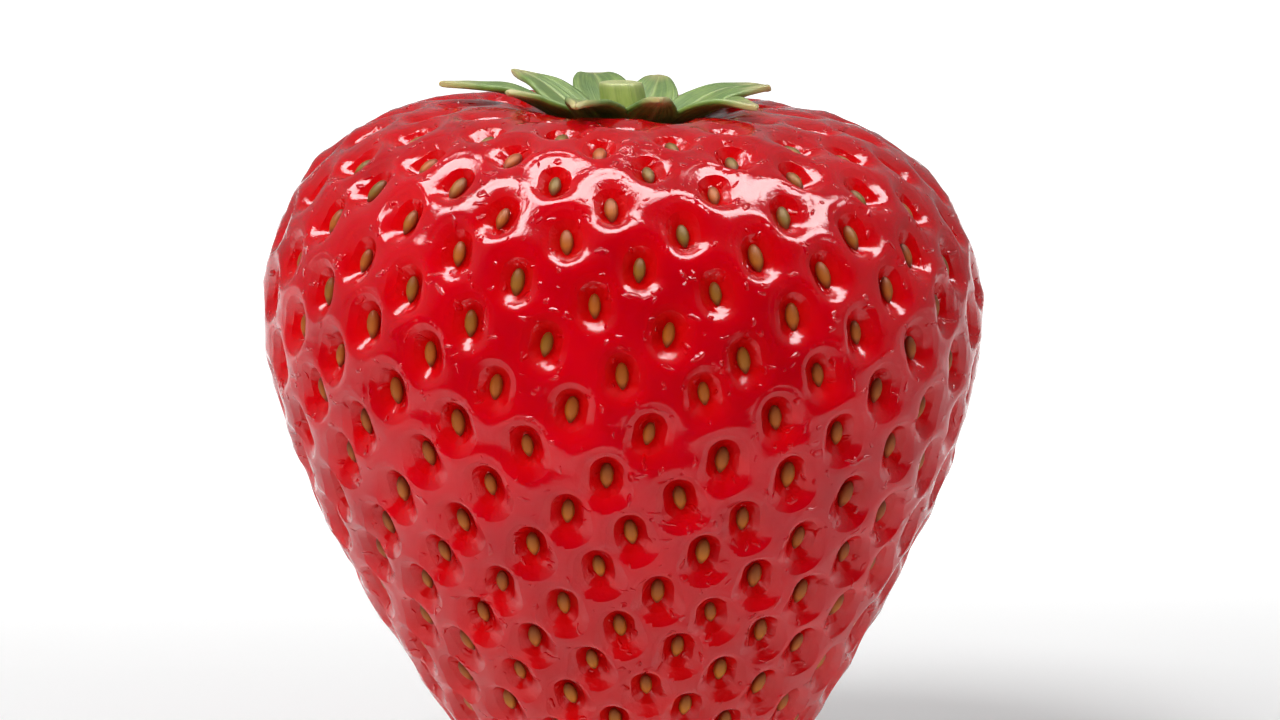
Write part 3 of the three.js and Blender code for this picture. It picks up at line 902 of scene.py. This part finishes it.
def makeLeafMaterial(name, colours):
    # sepal and stalk tissue: matt green with fine veins and a paler rib, straw-coloured at the points
    firstGreen, secondGreen, ribColour, dryColour = colours
    material, tree = newMaterial(name)
    place = addNode(tree, "TexCoord").outputs["Object"]
    along, side = (addNode(tree, "Attribute", {"attribute_name": shade}).outputs["Fac"]
                   for shade in ("along", "side"))
    mottle = addNode(tree, "TexNoise", None, {
        "Scale": scaleFor(leafLook["mottleSize"]), "Detail": 4, "Vector": place})
    flat = addNode(tree, "CombineXYZ", None, {"X": along, "Y": side})
    stretched = addNode(tree, "VectorMath", {"operation": "MULTIPLY"}, {0: flat, 1: (*leafLook["veins"], 0)})
    veins = addNode(tree, "TexNoise", None, {
        "Scale": 1, "Detail": 3, "Distortion": leafLook["veinBend"], "Vector": stretched})
    added = addNode(tree, "Math", {"operation": "ADD"}, {0: mottle, 1: veins})
    both = addNode(tree, "Math", {"operation": "MULTIPLY"}, {0: added, 1: 0.5})
    green = addNode(tree, "ValToRGB", None, {"Fac": both})
    setRamp(green, zip(leafLook["greenEnds"], (firstGreen, secondGreen)))
    fromMiddle = addNode(tree, "Math", {"operation": "ABSOLUTE"}, {0: side})
    rib = addNode(tree, "MapRange", None, {
        "From Min": leafLook["ribShare"] / 4, "From Max": leafLook["ribShare"],
        "To Min": leafLook["ribPaleness"], "To Max": 0, "Value": fromMiddle})
    ribbed = addNode(tree, "Mix", {"data_type": "RGBA"}, {
        "Factor": rib, "A": green, "B": hexToLinear(ribColour)})
    dryness = addNode(tree, "MapRange", None, {"From Min": leafLook["dryStart"], "Value": along})
    colour = addNode(tree, "Mix", {"data_type": "RGBA"}, {
        "Factor": dryness, "A": ribbed, "B": hexToLinear(dryColour)})
    height = addNode(tree, "Math", {"operation": "MULTIPLY_ADD"},
                     {0: rib, 1: -leafLook["ribDepth"], 2: both})
    bump = addNode(tree, "Bump", None, {"Distance": leafLook["veinHeight"] * mm, "Height": height})
    shader = addNode(tree, "BsdfPrincipled", None, {
        "Roughness": leafLook["roughness"], "Subsurface Weight": leafLook["sinkShare"],
        "Subsurface Scale": leafLook["sinkDepth"] * mm, "Subsurface Radius": leafLook["sinkColours"],
        "Base Color": colour, "Normal": bump})
    addNode(tree, "OutputMaterial", None, {"Surface": shader})
    return material


# the table, the light and the camera
stageSet = {
    "targetHeight": 25.8,  # mm, of the point that the camera looks at
    "targetAside": 0.7,
    "cameraDistance": 275,
    "cameraElevation": 8.5,  # degrees
    "sensorWidth": 36,  # mm, as the lens
    "lens": 157.05,
    "clipEnds": (0.01, 10),  # m, nearest and furthest that is drawn
    "tableWhite": "#ECECEC",
    "tableSize": 4,  # m
    "cloudSize": 25,  # mm, of the faint clouds in a matt surface
    "cloudTone": 0.98,
    "mattRoughness": 0.9,
    "mattSheen": 0.1,
    "cardBlack": "#1D1D1D",
    "cardSize": (3, 1.5),  # m, across and away from the fruit
    "cardHeight": 0.3,  # mm
    "whiteEdge": 45,  # mm in front of the fruit, where the white table ends in the skin's reflections
    "lampAim": 30,  # mm above the table, where the lamps point
    "lampDistance": 280,
    "lamps": [  # name, degrees up from the table and to the viewer's right, mm, radiance, who can't see it
        ("softbox", 87, 0, (560, 120), 16, "diffuse"),
        ("fill", 46, -26, (90, 70), 32.8, "glossy"),
    ],
    "glowEnds": (26, 150),  # mm behind the fruit, from where to where the table gets lit from below
    "glowLeast": 0.125,  # share of the glow that is left under the fruit and in front of it
    "tableGlow": 0.75,
    "wallTurn": (-0.75, -0.1),  # of the direction's Y, from the viewer's side to the far side
    "walls": (0.95, 1.6),  # brightness of the walls that the camera sees, on those two sides
    "mirrored": (0.005, 0.34),  # and of what the wet skin mirrors of them
    "roomLight": 0.48,  # of the walls all round, that lights the skin
}


def makeMattMaterial(name, hexColour, glow=0):
    # matt card or table top, with a faint cloudy tone; the table is lit from below further back
    material, tree = newMaterial(name)
    place = addNode(tree, "TexCoord").outputs["Object"]
    clouds = addNode(tree, "TexNoise", None, {
        "Scale": scaleFor(stageSet["cloudSize"]), "Detail": 2, "Vector": place})
    tint = addNode(tree, "Mix", {"data_type": "RGBA"}, {
        "Factor": clouds, "B": hexToLinear(hexColour),
        "A": (*(stageSet["cloudTone"] * part for part in hexToLinear(hexColour)[:3]), 1)})
    split = addNode(tree, "SeparateXYZ", None, {"Vector": place})
    glowStart, glowEnd = stageSet["glowEnds"]
    behind = addNode(tree, "MapRange", {"interpolation_type": "SMOOTHSTEP"}, {
        "From Min": glowStart * mm, "From Max": glowEnd * mm,
        "To Min": stageSet["glowLeast"] * glow, "To Max": glow, "Value": split.outputs["Y"]})
    shader = addNode(tree, "BsdfPrincipled", None, {
        "Roughness": stageSet["mattRoughness"], "Specular IOR Level": stageSet["mattSheen"],
        "Emission Color": hexToLinear("#FFFFFF"), "Emission Strength": behind, "Base Color": tint})
    addNode(tree, "OutputMaterial", None, {"Surface": shader})
    return material


def makePlane(name, size, place, material):
    bpy.ops.mesh.primitive_plane_add(size=1, location=place)
    plane = bpy.context.object
    plane.name = name
    writePoints(plane, readPoints(plane) * (*size, 1))
    plane.data.materials.append(material)
    return plane


def makeTable():
    # the white table, and a dark card on it that only the skin mirrors
    side = stageSet["tableSize"]
    table = makePlane("table", (side, side), (0, 0, 0), makeMattMaterial(
        "whiteTable", stageSet["tableWhite"], stageSet["tableGlow"]))
    middle = -(stageSet["whiteEdge"] * mm + stageSet["cardSize"][1] / 2)
    card = makePlane("darkCard", stageSet["cardSize"], (0, middle, stageSet["cardHeight"] * mm),
                     makeMattMaterial("darkCard", stageSet["cardBlack"]))
    for ray in ("camera", "diffuse", "shadow", "transmission"):
        setattr(card, "visible_" + ray, False)


def directionTo(elevation, aside=0):
    # from the fruit to the lamp or camera at these degrees up from the table and to the viewer's right
    angle, turn = math.radians(elevation), math.radians(aside)
    return Vector((math.cos(angle) * math.sin(turn), -math.cos(angle) * math.cos(turn), math.sin(angle)))


def makeLamps():
    # a wide softbox that is only seen in the wet skin, and a lamp that only lights
    for name, elevation, aside, size, radiance, ray in stageSet["lamps"]:
        back = directionTo(elevation, aside)
        place = Vector((0, 0, stageSet["lampAim"])) + back * stageSet["lampDistance"]
        bpy.ops.object.light_add(type="AREA", location=place * mm)
        lamp = bpy.context.object
        lamp.name = name
        lamp.rotation_euler = back.to_track_quat("Z", "Y").to_euler()
        lamp.data.shape = "RECTANGLE"
        lamp.data.size, lamp.data.size_y = (side * mm for side in size)
        lamp.data.energy = radiance * math.pi * lamp.data.size * lamp.data.size_y
        setattr(lamp, "visible_" + ray, False)


def makeWorld():
    # pale walls; what the wet skin mirrors of them is dark on the viewer's side and lit behind
    world = bpy.data.worlds.new("studio")
    bpy.context.scene.world = world
    world.use_nodes = True
    tree = world.node_tree
    tree.nodes.clear()
    direction = addNode(tree, "TexCoord").outputs["Generated"]
    split = addNode(tree, "SeparateXYZ", None, {"Vector": direction})
    turnStart, turnEnd = stageSet["wallTurn"]
    behind = addNode(tree, "MapRange", {"interpolation_type": "SMOOTHSTEP"}, {
        "From Min": turnStart, "From Max": turnEnd, "Value": split.outputs["Y"]})
    walls, mirrored = (addNode(tree, "Mix", None, {"Factor": behind, "A": front, "B": far})
                       for front, far in (stageSet["walls"], stageSet["mirrored"]))
    path = addNode(tree, "LightPath")
    seen = addNode(tree, "Mix", None, {
        "Factor": path.outputs["Is Glossy Ray"], "A": walls, "B": mirrored})
    level = addNode(tree, "Mix", None, {
        "Factor": path.outputs["Is Diffuse Ray"], "A": seen, "B": stageSet["roomLight"]})
    shine = addNode(tree, "Background", None, {"Color": hexToLinear("#FFFFFF"), "Strength": level})
    addNode(tree, "OutputWorld", None, {"Surface": shine})


def makeCamera():
    target = Vector((stageSet["targetAside"], 0, stageSet["targetHeight"])) * mm
    back = directionTo(stageSet["cameraElevation"])
    bpy.ops.object.camera_add(location=target + back * stageSet["cameraDistance"] * mm)
    camera = bpy.context.object
    camera.rotation_euler = back.to_track_quat("Z", "Y").to_euler()
    camera.data.sensor_width = stageSet["sensorWidth"]
    camera.data.lens = stageSet["lens"]
    camera.data.clip_start, camera.data.clip_end = stageSet["clipEnds"]
    bpy.context.scene.camera = camera
    bpy.context.scene.view_settings.view_transform = "Standard"


makeCamera()
makeTable()
makeLamps()
makeWorld()
print("stage ready")

pieces = [
    (makeSkin(), "berry", "flesh", makeSkinMaterial()),
    (makeAchenes(), "berry", "flesh", makeAcheneMaterial()),
    (makeSepals(), "calyx", "calyx_green", makeLeafMaterial("strawberrySepal", leafLook["sepalColours"])),
    (makeStalk(), "calyx", "calyx_green", makeLeafMaterial("strawberryStalk", leafLook["stalkColours"])),
]
for piece, node, slot, material in pieces:
    piece.data.materials.clear()
    piece.data.materials.append(material)
    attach(piece, "root")
    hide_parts(node)
    print("piece ready:", piece.name)
